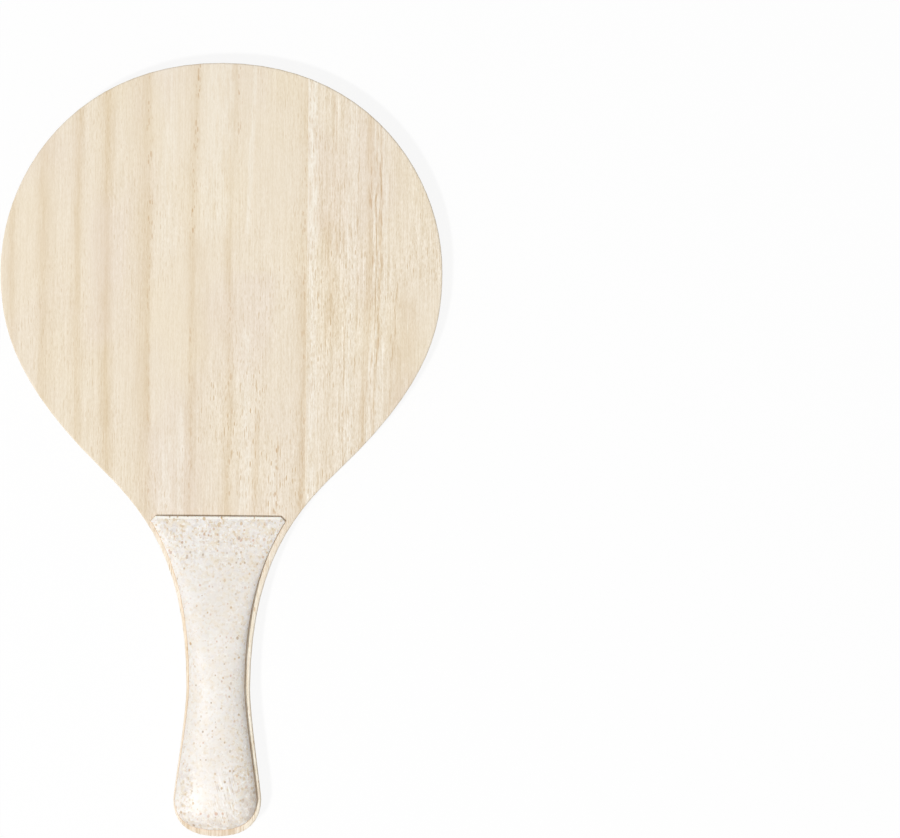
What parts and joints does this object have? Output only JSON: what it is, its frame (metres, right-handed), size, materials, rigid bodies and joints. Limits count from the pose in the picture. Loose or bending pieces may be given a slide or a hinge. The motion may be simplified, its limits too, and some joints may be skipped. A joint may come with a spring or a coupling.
{
  "type": "sports racket",
  "caption": "Solid plywood beach paddle: thin round-headed blade whose tang is clad on both sides with crowned moulded grip scales.",
  "frame": {"origin": "middle of the bounding box: half the length, on the blade's middle plane and its line of symmetry", "axes": "+Z out of the front face, +Y from the butt to the head, +X to the right as the front is seen with the head up"},
  "size_m": [0.217, 0.38, 0.0228],
  "materials": {
    "face_wood": "sanded pale paulownia-type face veneer, clear matt sealer",
    "inner_wood": "raw inner plies, seen only at the blade's edge",
    "moulding": "off-white straw-filled moulding with brown specks, satin"
  },
  "bodies": {
    "root": {"front_face_leaf_wide": "face_wood", "front_face_leaf_narrow": "face_wood", "rear_face_leaf_wide": "face_wood", "rear_face_leaf_narrow": "face_wood", "front_crossband_ply": "inner_wood", "core_ply": "inner_wood", "rear_crossband_ply": "inner_wood", "front_grip_scale": "moulding", "rear_grip_scale": "moulding"}
  },
  "joints": []
}
